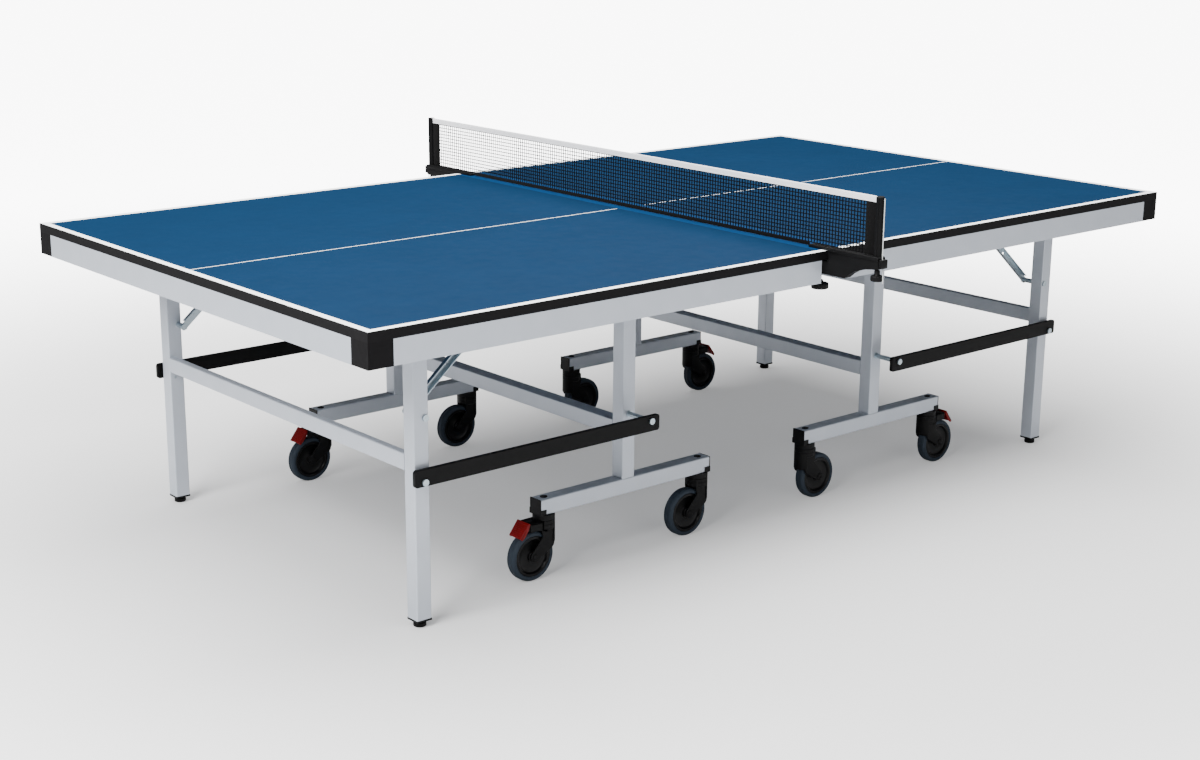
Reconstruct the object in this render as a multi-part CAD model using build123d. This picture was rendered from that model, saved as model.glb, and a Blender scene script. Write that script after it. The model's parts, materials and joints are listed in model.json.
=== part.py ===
from build123d import *
import math
import os

# Folding roll-away table tennis table in two independent halves, with a clamp-on net.
# Millimetres. X runs along the table, Y across it, Z up; the floor is Z = 0 and the net
# stands across the middle. A half is built on the +X side and turned half a turn about Z
# for the other side, so the two halves are the same object used twice.

# ---- driving dimensions ----
TABLE_LENGTH = 2740.0
TABLE_WIDTH = 1525.0
TABLE_HEIGHT = 760.0
HALF_GAP = 3.0              # gap between the two playing halves
PANEL_THICK = 22.0
BAND_THICK = 2.0            # black edge band round the panel
APRON_DEPTH = 57.0
APRON_WALL = 2.0
APRON_FLANGE = 20.0
APRON_START = 49.0          # side aprons leave this much free for the net clamps
CAP_SIDE = 62.0
CAP_WALL = 4.0

TUBE = 40.0                 # square tube of legs, posts and floor beams
TUBE_WALL = 2.0
TUBE_ROUND = 3.0

LEG_X = 1117.0
LEG_Y = 560.0
LEG_BOTTOM = 20.0
LEG_BAR_THICK = 20.0        # the cross bar between the legs is a flatter tube
LEG_BAR_Z = 387.0
POST_X = 453.0
POST_Y = 496.0
POST_BAR_Z = 328.0
BEAM_Z = 182.0
BEAM_LENGTH = 552.0

# four pivots of the folding parallelogram, at rest, in the X-Z plane
TOP_PIVOT = (453.0, 705.0)      # post to tabletop
BAR_POST = (453.0, 367.0)       # post to control bar
BAR_LEG = (1122.0, 351.0)       # control bar to leg
LEG_PIVOT = (1122.0, 689.0)     # leg to tabletop
FOLD_TOP_CLEAR = 20.0           # tube left above a top pivot

BAR_FACE = 588.3            # inner face of a control bar, from the middle of the table
BAR_THICK = 9.7
BAR_HEIGHT = 40.0
BAR_ENDS = (426.0, 1148.0)
BAR_Z = 361.0

BRACE_PIN = (1106.0, 492.0)     # diagonal brace on the leg
BRACE_TOP = (846.0, 712.0)      # its upper end, under the tabletop
BRACE_FACE = 508.0              # the web's face nearest the middle of the table
BRACE_WIDTH = 18.0
BRACE_DEPTH = 12.0
BRACE_WALL = 1.5

PIN_R = 4.0
PIN_HOLE_R = 4.06
HEAD_R = 8.0

STEM_X = (200.0, 706.0)     # caster swivels, inner and outer
STEM_R = 5.5
STEM_HOLE_R = 5.56
WHEEL_R = 62.5
WHEEL_WIDTH = 28.0
TYRE_DEPTH = 12.0
TRAIL = 42.0
AXLE_R = 4.0
AXLE_HOLE_R = 4.06
COLLAR_R = 27.5
FORK_TOP = 149.0
FORK_PLATE = 5.0
FORK_INSIDE = 34.0          # clear width between the fork's cheeks

NET_X = -17.5               # the net stands on the -X half, beside the joint
NET_TOP = TABLE_HEIGHT + 152.5
NET_POST_Y = 913.0
CLAMP_THICK = 28.0
CLAMP_TIP = 698.0
JAW_TIP = 722.0
SCREW_X = NET_X - 7.0       # the screw bears on the -X half alone
SCREW_Y = 736.0

HALF_W = TABLE_WIDTH / 2
HALF_L = TABLE_LENGTH / 2
PANEL_BOTTOM = TABLE_HEIGHT - PANEL_THICK
APRON_BOTTOM = PANEL_BOTTOM - APRON_DEPTH
SIDES = (-1, 1)

parts = {}


def block(x, y, z):
    """A box from three (low, high) pairs."""
    size = [high - low for low, high in (x, y, z)]
    middle = [(high + low) / 2 for low, high in (x, y, z)]
    return Pos(*middle) * Box(*size)


def rod(radius, start, end):
    """A cylinder between two points on a line along one axis."""
    line = Vector(*end) - Vector(*start)
    plane = Plane(origin=start, z_dir=line)
    return extrude(plane * Circle(radius), line.length)


def across(radius, x, z, y_low, y_high):
    return rod(radius, (x, y_low, z), (x, y_high, z))


def square_tube(start, end, width=TUBE, height=TUBE, wall=TUBE_WALL):
    """A rounded hollow tube; width and height are measured across its line."""
    line = Vector(*end) - Vector(*start)
    side = (1, 0, 0) if abs(line.X) < 1 else (0, 1, 0)
    plane = Plane(origin=start, x_dir=side, z_dir=line)
    outer = RectangleRounded(width, height, TUBE_ROUND)
    inner = RectangleRounded(width - 2 * wall, height - 2 * wall, TUBE_ROUND - wall / 2)
    return extrude(plane * (outer - inner), line.length)


def profile_xz(points, y_low, y_high):
    """A plate whose outline is given in X and Z."""
    face = make_face(Plane.XZ * Polyline(*points, close=True))
    return Pos(0, (y_low + y_high) / 2, 0) * extrude(face, (y_high - y_low) / 2, both=True)


def tube_filler(start, end, width=TUBE - 2 * TUBE_WALL):
    """A solid bar that just fills a square tube."""
    line = Vector(*end) - Vector(*start)
    side = (1, 0, 0) if abs(line.X) < 1 else (0, 1, 0)
    plane = Plane(origin=start, x_dir=side, z_dir=line)
    return extrude(plane * RectangleRounded(width, width, TUBE_ROUND - TUBE_WALL / 2), line.length)


def both_sides(solid):
    return [solid, solid.mirror(Plane.XZ)]


# ---- tabletop ----
def table_panel():
    inset = BAND_THICK
    return [block((HALF_GAP / 2 + inset, HALF_L - inset), (-HALF_W + inset, HALF_W - inset),
                  (PANEL_BOTTOM, TABLE_HEIGHT))]


def edge_band():
    outer = block((HALF_GAP / 2, HALF_L), (-HALF_W, HALF_W), (PANEL_BOTTOM, TABLE_HEIGHT))
    hole = block((HALF_GAP / 2 + BAND_THICK, HALF_L - BAND_THICK),
                 (-HALF_W + BAND_THICK, HALF_W - BAND_THICK), (PANEL_BOTTOM - 1, TABLE_HEIGHT + 1))
    return [outer - hole]


def apron_side(y_outer, direction):
    """One long apron: a C channel open towards the middle of the table."""
    y_web = sorted((y_outer, y_outer - direction * APRON_WALL))
    y_flange = sorted((y_outer - direction * APRON_WALL, y_outer - direction * APRON_FLANGE))
    run = (APRON_START, HALF_L - CAP_SIDE)
    channel = block(run, y_web, (APRON_BOTTOM, PANEL_BOTTOM))
    channel += block(run, y_flange, (APRON_BOTTOM, APRON_BOTTOM + APRON_WALL))
    channel += block(run, y_flange, (PANEL_BOTTOM - APRON_WALL, PANEL_BOTTOM))
    return channel


def apron():
    end_run = (-HALF_W + CAP_SIDE, HALF_W - CAP_SIDE)
    end = block((HALF_L - APRON_WALL, HALF_L), end_run, (APRON_BOTTOM, PANEL_BOTTOM))
    inward = (HALF_L - APRON_FLANGE, HALF_L - APRON_WALL)
    end += block(inward, end_run, (APRON_BOTTOM, APRON_BOTTOM + APRON_WALL))
    end += block(inward, end_run, (PANEL_BOTTOM - APRON_WALL, PANEL_BOTTOM))
    return [end] + [apron_side(s * HALF_W, s) for s in SIDES]


def corner_cap(s):
    """A moulded corner: two walls, a floor and a gusset that carries the screws."""
    x_out, y_out = HALF_L, s * HALF_W
    x_in, y_in = x_out - CAP_SIDE, y_out - s * CAP_SIDE
    z_run = (APRON_BOTTOM, PANEL_BOTTOM)
    cap = block((x_out - CAP_WALL, x_out), sorted((y_in, y_out)), z_run)
    cap += block((x_in, x_out), sorted((y_out - s * CAP_WALL, y_out)), z_run)
    cap += block((x_in, x_out), sorted((y_out - s * CAP_SIDE, y_out)), (PANEL_BOTTOM - 4, PANEL_BOTTOM))
    return cap


def corner_caps():
    return [corner_cap(s) for s in SIDES]


NET_RAIL = (15.0, 55.0)
RAIL_DEPTH = 15.0
RAIL_WIDTH = 40.0
RAIL_INNER_X = 300.0
RAIL_OUTER_X = 950.0


def channel_rail(x_middle, y_half):
    low = PANEL_BOTTOM - RAIL_DEPTH
    rail = block((x_middle - RAIL_WIDTH / 2, x_middle + RAIL_WIDTH / 2), (-y_half, y_half), (low, PANEL_BOTTOM))
    inside = block((x_middle - RAIL_WIDTH / 2 + 2, x_middle + RAIL_WIDTH / 2 - 2), (-y_half - 1, y_half + 1),
                   (low + 2, PANEL_BOTTOM + 1))
    return rail - inside


def hinge_bracket(x, z, y_low, y_high, s):
    """A clevis under the panel: a base plate and two ears with a hole for the pin."""
    gap = 0.4
    ear = 3.0
    base = PANEL_BOTTOM - 3.0
    y_in, y_out = y_low - gap, y_high + gap
    bracket = block((x - 30, x + 30), sorted((s * (y_in - 14), s * (y_out + 14))), (base, PANEL_BOTTOM))
    for a, b in ((y_in - ear, y_in), (y_out, y_out + ear)):
        bracket += block((x - 18, x + 18), sorted((s * a, s * b)), (z - 11, base))
    return bracket - across(PIN_HOLE_R, x, z, *sorted((s * (y_in - 20), s * (y_out + 20))))


GUIDE_RUN = (560.0, 872.0)
GUIDE_BOTTOM = 698.0


def brace_guide(s):
    """A slotted rail that the upper end of a diagonal brace runs along."""
    face = BRACE_FACE - 6.0
    guide = block(GUIDE_RUN, sorted((s * (face - 2), s * face)), (GUIDE_BOTTOM, PANEL_BOTTOM))
    guide += block(GUIDE_RUN, sorted((s * (face - 20), s * (face - 2))), (PANEL_BOTTOM - 2, PANEL_BOTTOM))
    slot = block((GUIDE_RUN[0] + 16, GUIDE_RUN[1] - 16), sorted((s * (face - 3), s * (face + 1))),
                 (BRACE_TOP[1] - 4.5, BRACE_TOP[1] + 4.5))
    return guide - slot


def under_frame():
    solids = [block(NET_RAIL, (-680, 680), (PANEL_BOTTOM - 10, PANEL_BOTTOM)),
              channel_rail(RAIL_INNER_X, 462),
              channel_rail(RAIL_OUTER_X, HALF_W - APRON_FLANGE)]
    for s in SIDES:
        solids.append(hinge_bracket(*TOP_PIVOT, POST_Y - TUBE / 2, POST_Y + TUBE / 2, s))
        solids.append(hinge_bracket(*LEG_PIVOT, LEG_Y - TUBE / 2, LEG_Y + TUBE / 2, s))
        solids.append(brace_guide(s))
    return solids


# ---- outer legs ----
def leg(s):
    top = LEG_PIVOT[1] + FOLD_TOP_CLEAR
    tube = square_tube((LEG_X, s * LEG_Y, LEG_BOTTOM), (LEG_X, s * LEG_Y, top))
    low, high = sorted((s * (LEG_Y - TUBE), s * (LEG_Y + TUBE)))
    for x, z in (LEG_PIVOT, BAR_LEG, BRACE_PIN):
        tube -= across(PIN_R, x, z, low, high)
    return tube


def leg_frame():
    bar_x = LEG_X + TUBE / 2 - LEG_BAR_THICK / 2
    reach = LEG_Y - TUBE / 2
    bar = square_tube((bar_x, -reach, LEG_BAR_Z), (bar_x, reach, LEG_BAR_Z), LEG_BAR_THICK, TUBE)
    return [leg(s) for s in SIDES] + [bar]


FOOT_STEM_R = 5.0


def leg_plugs():
    """Plastic plugs pressed into the legs' lower ends, each with a thin square flange."""
    solids = []
    for s in SIDES:
        at = Pos(LEG_X, s * LEG_Y, 0)
        plug = tube_filler((0, 0, LEG_BOTTOM), (0, 0, LEG_BOTTOM + 30))
        plug += block((-TUBE / 2, TUBE / 2), (-TUBE / 2, TUBE / 2), (LEG_BOTTOM - 5, LEG_BOTTOM))
        plug -= rod(FOOT_STEM_R + 0.06, (0, 0, 0), (0, 0, LEG_BOTTOM + 24))
        solids.append(at * plug)
    return solids


def foot(s):
    """A levelling foot: a disc on a threaded stem."""
    pad = rod(15, (0, 0, 0), (0, 0, 9))
    pad = chamfer(pad.edges().group_by(Axis.Z)[0], 1.5)
    pad += rod(11, (0, 0, 9), (0, 0, 14))
    pad += rod(FOOT_STEM_R, (0, 0, 14), (0, 0, LEG_BOTTOM + 20))
    return [Pos(LEG_X, s * LEG_Y, 0) * pad]


def leg_bolts():
    """Hinge pins, control bar bolts and brace bolts that stay with the legs."""
    solids = []
    leg_in, leg_out = LEG_Y - TUBE / 2, LEG_Y + TUBE / 2
    for s in SIDES:
        x, z = LEG_PIVOT
        pin = across(PIN_R, x, z, leg_in - 6, leg_out + 6)
        pin += across(HEAD_R, x, z, leg_out + 3.8, leg_out + 6.5)
        pin += across(HEAD_R, x, z, leg_in - 6.5, leg_in - 3.8)
        x, z = BAR_LEG
        bar_bolt = across(PIN_R, x, z, leg_in + 3, BAR_FACE + BAR_THICK + 3)
        bar_bolt += across(9, x, z, leg_out, BAR_FACE - 0.3)
        bar_bolt += across(HEAD_R, x, z, BAR_FACE + BAR_THICK + 0.3, BAR_FACE + BAR_THICK + 4.5)
        x, z = BRACE_PIN
        brace_bolt = across(PIN_R, x, z, BRACE_FACE - 3, leg_out + 3)
        brace_bolt += across(HEAD_R, x, z, leg_out, leg_out + 4)
        brace_bolt += across(7, x, z, BRACE_FACE + BRACE_WALL + 0.3, leg_in)
        brace_bolt += across(HEAD_R, x, z, BRACE_FACE - 4.5, BRACE_FACE - 0.4)
        for solid in (pin, bar_bolt, brace_bolt):
            solids.append(solid if s > 0 else solid.mirror(Plane.XZ))
    return solids


def brace():
    """A pressed U channel with its back towards the middle of the table."""
    run = Vector(BRACE_TOP[0] - BRACE_PIN[0], 0, BRACE_TOP[1] - BRACE_PIN[1])
    over = 9.0
    length = run.length + 2 * over
    web = Box(length, BRACE_WALL, BRACE_WIDTH, align=(Align.MIN, Align.MIN, Align.CENTER))
    web = fillet(web.edges().filter_by(Axis.Y), 6)
    body = Pos(-over, BRACE_FACE, 0) * web
    flange_run = (12.0, run.length - 6.0)
    for side in SIDES:
        z_pair = sorted((side * BRACE_WIDTH / 2, side * (BRACE_WIDTH / 2 - BRACE_WALL)))
        body += block(flange_run, (BRACE_FACE, BRACE_FACE + BRACE_DEPTH), z_pair)
    body -= across(PIN_HOLE_R, 0, 0, BRACE_FACE - 5, BRACE_FACE + 20)
    body -= across(4.5, run.length * 0.42, 0, BRACE_FACE - 5, BRACE_FACE + 20)
    body += across(PIN_R, run.length, 0, BRACE_FACE - 4.5, BRACE_FACE)
    angle = -math.degrees(math.atan2(run.Z, run.X))
    return Pos(BRACE_PIN[0], 0, BRACE_PIN[1]) * Rot(0, angle, 0) * body


def braces():
    return both_sides(brace())


# ---- control bars ----
def control_bars():
    length = BAR_ENDS[1] - BAR_ENDS[0]
    bar = Pos((BAR_ENDS[0] + BAR_ENDS[1]) / 2, BAR_FACE + BAR_THICK / 2, BAR_Z) * Box(length, BAR_THICK, BAR_HEIGHT)
    bar = fillet(bar.edges().filter_by(Axis.Y), 7)
    bar = chamfer(bar.edges().group_by(Axis.Y)[-1], 1)
    for x, z in (BAR_POST, BAR_LEG):
        bar -= across(PIN_HOLE_R, x, z, BAR_FACE - 5, BAR_FACE + BAR_THICK + 5)
    return both_sides(bar)


# ---- rolling carriage ----
def post_frame():
    solids = []
    beam_low, beam_high = BEAM_Z - TUBE / 2, BEAM_Z + TUBE / 2
    x_low, x_high = POST_X - BEAM_LENGTH / 2, POST_X + BEAM_LENGTH / 2
    for s in SIDES:
        y = s * POST_Y
        post = square_tube((POST_X, y, beam_high), (POST_X, y, TOP_PIVOT[1] + FOLD_TOP_CLEAR))
        low, high = sorted((s * (POST_Y - TUBE), s * (POST_Y + TUBE)))
        post -= across(PIN_R, *TOP_PIVOT, low, high)
        post -= across(PIN_R, *BAR_POST, low, high)
        solids.append(post)
        beam = square_tube((x_low, y, BEAM_Z), (x_high, y, BEAM_Z))
        for x, end in ((x_low, 1), (x_high, -1)):
            notch = sorted((x - end, x + end * 15))
            beam -= block(notch, (y - TUBE, y + TUBE), (beam_low - 1, beam_low + 14))
        for x in STEM_X:
            beam -= rod(9, (x, y, beam_high - 10), (x, y, beam_high + 5))
            beam -= rod(12, (x, y, beam_low - 5), (x, y, beam_low + 10))
        solids.append(beam)
    reach = POST_Y - TUBE / 2
    solids.append(square_tube((POST_X, -reach, POST_BAR_Z), (POST_X, reach, POST_BAR_Z)))
    return solids


def beam_plug(x, end, s):
    """The plastic socket pushed into a floor beam's end. It holds the caster's stem."""
    y = s * POST_Y
    low, high = BEAM_Z - TUBE / 2, BEAM_Z + TUBE / 2
    tip = POST_X + end * BEAM_LENGTH / 2
    core = tube_filler((tip, y, BEAM_Z), (tip - end * 52, y, BEAM_Z))
    core += block(sorted((tip, tip + end * 3)), (y - TUBE / 2, y + TUBE / 2), (low, high))
    core += block(sorted((tip + end * 3, tip - end * 15)), (y - 22, y + 22), (low, low + 14))
    core += rod(8.9, (x, y, high - 8), (x, y, high + 1.5))
    core += rod(11.9, (x, y, low - 3), (x, y, low + 6))
    core += rod(COLLAR_R, (x, y, FORK_TOP + 0.6), (x, y, low - 0.02))
    return core - rod(STEM_HOLE_R, (x, y, 100), (x, y, high - 6))


def beam_plugs():
    return [beam_plug(x, end, s) for s in SIDES for x, end in zip(STEM_X, (-1, 1))]


def post_bolts():
    """Top hinge pins, control bar spacer bolts and small screws under the beams."""
    solids = []
    post_in, post_out = POST_Y - TUBE / 2, POST_Y + TUBE / 2
    for s in SIDES:
        x, z = TOP_PIVOT
        pin = across(PIN_R, x, z, post_in - 6, post_out + 6)
        pin += across(HEAD_R, x, z, post_out + 3.8, post_out + 6.5)
        pin += across(HEAD_R, x, z, post_in - 6.5, post_in - 3.8)
        x, z = BAR_POST
        spacer = across(PIN_R, x, z, post_in + 3, BAR_FACE + BAR_THICK + 3)
        spacer += across(9, x, z, post_out, post_out + 4)
        spacer += across(6.5, x, z, post_out + 4, BAR_FACE - 0.3)
        spacer += across(HEAD_R, x, z, BAR_FACE + BAR_THICK + 0.3, BAR_FACE + BAR_THICK + 4.5)
        group = [pin, spacer]
        for offset in (-9, 9):
            at = (POST_X - 18 + offset, POST_Y)
            group.append(rod(4.5, (*at, BEAM_Z - TUBE / 2 - 4), (*at, BEAM_Z - TUBE / 2)))
        for solid in group:
            solids.append(solid if s > 0 else solid.mirror(Plane.XZ))
    return solids


def place_caster(solid, x, s):
    return Pos(x, s * POST_Y, 0) * solid


PEDAL_PIVOT = (24.0, 137.0)
PEDAL_PIN_R = 2.5
PADDLE_WIDTH = 47.0
HOUSING_END = 56.0          # how far the brake's housing reaches over the wheel


def fork_cheek(y_low, y_high):
    """The cheek hangs from the head and sweeps back to the axle."""
    plate = profile_xz([(-17, FORK_TOP), (22, FORK_TOP), (22, 115), (52, 71), (33, 53), (-12, 80), (-17, 92)],
                       y_low, y_high)
    return plate + across(13.0, TRAIL, WHEEL_R, y_low, y_high)


def caster_fork(braked):
    """A round head, a curved front and two swept cheeks. A braked fork has a housing over the wheel."""
    half = FORK_INSIDE / 2
    outside = half + FORK_PLATE
    fork = rod(COLLAR_R, (0, 0, 2 * WHEEL_R + 1.5), (0, 0, FORK_TOP))
    front = rod(COLLAR_R, (0, 0, 91), (0, 0, 130)) - rod(COLLAR_R - 4, (0, 0, 90), (0, 0, 131))
    fork += front - block((-12, 40), (-40, 40), (80, 140))
    for s in SIDES:
        fork += fork_cheek(*sorted((s * half, s * outside)))
    fork += rod(STEM_R, (0, 0, FORK_TOP), (0, 0, 186))
    if braked:
        housing = block((5, HOUSING_END), (-outside, outside), (110, FORK_TOP))
        fork += housing - across(WHEEL_R + 3, TRAIL, WHEEL_R, -outside - 1, outside + 1)
        fork -= block((18, HOUSING_END + 1), (-12.3, 12.3), (110, FORK_TOP - 5))
        fork += across(PEDAL_PIN_R, *PEDAL_PIVOT, -half, half)
    fork += across(AXLE_R, TRAIL, WHEEL_R, -outside - 1, outside + 1)
    return fork


def caster_wheel():
    half = WHEEL_WIDTH / 2
    disc = across(WHEEL_R, 0, 0, -half, half)
    disc = fillet(disc.edges(), 6)
    core_r = WHEEL_R - TYRE_DEPTH
    core = across(core_r, 0, 0, -half - 1, half + 1)
    tyre = disc - core
    hub = across(core_r, 0, 0, -half + 2, half - 2)
    for s in SIDES:
        face = sorted((s * (half - 2), s * (half - 9)))
        hub -= across(core_r - 6, 0, 0, *face) - across(15, 0, 0, *face)
    hub += across(15, 0, 0, -half - 2, half + 2)
    bore = across(AXLE_HOLE_R, 0, 0, -half - 5, half + 5)
    return [Pos(TRAIL, 0, WHEEL_R) * (tyre), Pos(TRAIL, 0, WHEEL_R) * (hub - bore)]


def brake_pedal():
    """A rocking arm over the wheel that ends in a broad ribbed paddle."""
    arm = profile_xz([(24, 133), (24, 141), (66, 141), (71, 134.5), (34, 134.5)], -12, 12)
    arm += across(5.5, *PEDAL_PIVOT, -12, 12)
    paddle = profile_xz([(62, 153), (88, 118.5), (84.4, 115.8), (58.4, 150.3)], -PADDLE_WIDTH / 2, PADDLE_WIDTH / 2)
    return arm + paddle - across(PEDAL_PIN_R + 0.06, *PEDAL_PIVOT, -13, 13)


# ---- net set ----
def clamp(s):
    """A slim C bracket: a tongue on the table, a jaw below and an arm out to the post."""
    bottom, seam, tongue = 700.0, 733.0, TABLE_HEIGHT + 0.1
    arm_top = TABLE_HEIGHT + 8
    end = NET_POST_Y + 12
    outline = Polyline((JAW_TIP, bottom), (JAW_TIP, seam), (HALF_W + 0.4, seam), (HALF_W + 0.4, tongue),
                       (CLAMP_TIP, tongue), (CLAMP_TIP, arm_top - 3), (CLAMP_TIP + 8, arm_top),
                       (end, arm_top), (end, 738), (905, 736))
    curve = ThreePointArc((905, 736), (850, 722), (818, bottom))
    close = Line((818, bottom), (JAW_TIP, bottom))
    face = make_face(Plane.YZ * (outline + curve + close))
    plate = Pos(NET_X, 0, 0) * extrude(face, CLAMP_THICK / 2, both=True)
    plate -= rod(PIN_HOLE_R, (SCREW_X, SCREW_Y, 690), (SCREW_X, SCREW_Y, 740))
    plate -= rod(10.0, (NET_X, NET_POST_Y, 742), (NET_X, NET_POST_Y, 780))
    plate -= rod(PIN_HOLE_R, (NET_X, NET_POST_Y, 730), (NET_X, NET_POST_Y, 750))
    return [plate if s > 0 else plate.mirror(Plane.XZ)]


def clamp_screw(s):
    """The table clamp's screw: a pad under the panel, a thread and a round knob."""
    screw = rod(PIN_R, (0, 0, 676), (0, 0, 735))
    screw += rod(9, (0, 0, 733.6), (0, 0, 737.4))
    screw += rod(8, (0, 0, 676), (0, 0, 684))
    knob = rod(22, (0, 0, 661), (0, 0, 676))
    screw += fillet(knob.edges(), 5)
    return [Pos(SCREW_X, s * SCREW_Y, 0) * screw]


def net_posts():
    solids = []
    for s in SIDES:
        post = rod(9.9, (NET_X, s * NET_POST_Y, 742), (NET_X, s * NET_POST_Y, NET_TOP - 4))
        post += rod(10.1, (NET_X, s * NET_POST_Y, NET_TOP - 4), (NET_X, s * NET_POST_Y, NET_TOP))
        solids.append(post)
    return solids


def post_knob(s):
    """The knob under a net post that locks it in the clamp."""
    knob = fillet(rod(16, (0, 0, 708), (0, 0, 722)).edges(), 4)
    knob += rod(7, (0, 0, 722), (0, 0, 735.6))
    knob += rod(PIN_R, (0, 0, 735.6), (0, 0, 741.6))
    return [Pos(NET_X, s * NET_POST_Y, 0) * knob]


NET_EDGE = 874.0
SLEEVE_EDGE = 902.8
TAPE = 15.0
NET_BOTTOM = TABLE_HEIGHT + 9.0
NET_SKIRT = TABLE_HEIGHT + 1.5
SKIRT_EDGE = 690.0          # between the clamps the net reaches down to the table


def net_mesh():
    mesh = block((NET_X - 1, NET_X + 1), (-NET_EDGE, NET_EDGE), (NET_BOTTOM, NET_TOP - TAPE))
    mesh += block((NET_X - 1, NET_X + 1), (-SKIRT_EDGE, SKIRT_EDGE), (NET_SKIRT, NET_BOTTOM + 1))
    return [mesh]


def net_tape():
    """The white top tape and the dark sleeves at the net's two ends."""
    solids = [block((NET_X - 2, NET_X + 2), (-SLEEVE_EDGE, SLEEVE_EDGE), (NET_TOP - TAPE, NET_TOP))]
    for s in SIDES:
        ends = sorted((s * NET_EDGE, s * SLEEVE_EDGE))
        solids.append(block((NET_X - 2, NET_X + 2), ends, (NET_BOTTOM, NET_TOP - TAPE)))
    return solids


def net_cord():
    """The tension cord down the outer side of each post, with its clip."""
    solids = []
    for s in SIDES:
        outer = NET_POST_Y + 12.0
        cord = rod(1.2, (NET_X, s * (outer + 2.2), 750), (NET_X, s * (outer + 2.2), NET_TOP - 3))
        cord += rod(1.2, (NET_X, s * (outer + 6.5), 703), (NET_X, s * (outer + 6.5), 750))
        clip = block((NET_X - 11, NET_X + 11), sorted((s * (outer + 0.02), s * (outer + 11))), (741, 763))
        solids.append(cord + clip)
    return solids


# ---- write every node ----
def add(name, solids, half):
    turn = Rot(0, 0, 180) if half == "left" else Rot(0, 0, 0)
    parts[name] = [turn * solid for solid in solids]


def side_name(half, s):
    """near is -Y and far is +Y, whichever way the half is turned."""
    far = s > 0 if half == "right" else s < 0
    return "far" if far else "near"


for half in ("left", "right"):
    add(f"{half}_table_panel", table_panel(), half)
    add(f"{half}_edge_band", edge_band(), half)
    add(f"{half}_apron", apron(), half)
    add(f"{half}_corner_caps", corner_caps(), half)
    add(f"{half}_under_frame", under_frame(), half)
    add(f"{half}_leg_frame", leg_frame(), half)
    add(f"{half}_leg_plugs", leg_plugs(), half)
    add(f"{half}_leg_bolts", leg_bolts(), half)
    add(f"{half}_braces", braces(), half)
    add(f"{half}_control_bars", control_bars(), half)
    add(f"{half}_post_frame", post_frame(), half)
    add(f"{half}_beam_plugs", beam_plugs(), half)
    add(f"{half}_post_bolts", post_bolts(), half)
    for s in SIDES:
        side = side_name(half, s)
        add(f"{half}_foot_{side}", foot(s), half)
        for x, where in zip(STEM_X, ("inner", "outer")):
            fork = caster_fork(where == "outer")
            add(f"{half}_fork_{where}_{side}", [place_caster(fork, x, s)], half)
            wheel = [place_caster(solid, x, s) for solid in caster_wheel()]
            add(f"{half}_wheel_{where}_{side}", wheel, half)
        add(f"{half}_brake_pedal_{side}", [place_caster(brake_pedal(), STEM_X[1], s)], half)

for s, side in ((-1, "near"), (1, "far")):
    add(f"net_clamp_{side}", clamp(s), "middle")
    add(f"clamp_screw_{side}", clamp_screw(s), "middle")
    add(f"post_knob_{side}", post_knob(s), "middle")
add("net_posts", net_posts(), "middle")
add("net_mesh", net_mesh(), "middle")
add("net_tape", net_tape(), "middle")
add("net_cord", net_cord(), "middle")

os.makedirs("parts", exist_ok=True)
for name, solids in parts.items():
    shape = solids[0] if len(solids) == 1 else Compound(children=solids)
    export_step(shape, f"parts/{name}.step")
print(len(parts), "nodes written")
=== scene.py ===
# %% [markdown]
# # A roll-away table tennis table
# The table is two folding halves on casters with a net clamped between them. The engineering model holds
# every tube, hinge and wheel; this lesson gives each of them its surface and rebuilds the pieces whose
# moulded shape matters. Everything is in metres, in the same frame as the engineering model, with the floor
# at zero height.

# %% Load the fixed frame
import json
import math

import bmesh
import bpy
from mathutils import Matrix, Vector


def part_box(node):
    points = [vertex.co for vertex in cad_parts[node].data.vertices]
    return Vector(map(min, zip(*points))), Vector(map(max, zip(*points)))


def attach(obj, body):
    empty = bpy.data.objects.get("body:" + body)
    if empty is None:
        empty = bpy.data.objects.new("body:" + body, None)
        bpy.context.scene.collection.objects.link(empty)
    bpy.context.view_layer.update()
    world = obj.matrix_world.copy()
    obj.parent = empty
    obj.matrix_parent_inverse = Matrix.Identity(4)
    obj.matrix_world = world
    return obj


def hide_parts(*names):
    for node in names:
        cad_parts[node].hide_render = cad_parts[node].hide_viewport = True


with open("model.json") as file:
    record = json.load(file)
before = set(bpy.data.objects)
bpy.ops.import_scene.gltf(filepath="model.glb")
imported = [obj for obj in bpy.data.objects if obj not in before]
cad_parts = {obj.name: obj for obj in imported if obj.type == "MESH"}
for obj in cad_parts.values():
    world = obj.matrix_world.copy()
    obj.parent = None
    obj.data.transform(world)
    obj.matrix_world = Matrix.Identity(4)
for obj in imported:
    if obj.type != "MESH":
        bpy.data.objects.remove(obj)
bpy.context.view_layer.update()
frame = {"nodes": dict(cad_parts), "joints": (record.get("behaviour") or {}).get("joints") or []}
nodes = frame["nodes"]
joints = {joint["name"]: joint for joint in frame["joints"]}
MM = 0.001
HALVES = {"left": -1, "right": 1}
SIDES = {"near": -1, "far": 1}

# %% [markdown]
# Colours are chosen as the familiar six-digit sRGB values and turned to linear light by one function,
# because shaders work in linear light. One more function adds a shader node with its settings, and either
# sets each of its inputs or links it to another node's output.

# %% Colour and node helpers
def colour(code):
    channels = [int(code[i:i + 2], 16) / 255 for i in (1, 3, 5)]
    linear = [c / 12.92 if c <= 0.04045 else ((c + 0.055) / 1.055) ** 2.4 for c in channels]
    return (*linear, 1.0)


def add(tree, kind, settings=None, inputs=None):
    """Adds one node, sets its properties, and sets or links its inputs."""
    node = tree.nodes.new(kind)
    for name, value in (settings or {}).items():
        setattr(node, name, value)
    for name, value in (inputs or {}).items():
        if isinstance(value, bpy.types.NodeSocket):
            tree.links.new(value, node.inputs[name])
        else:
            node.inputs[name].default_value = value
    return node


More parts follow.
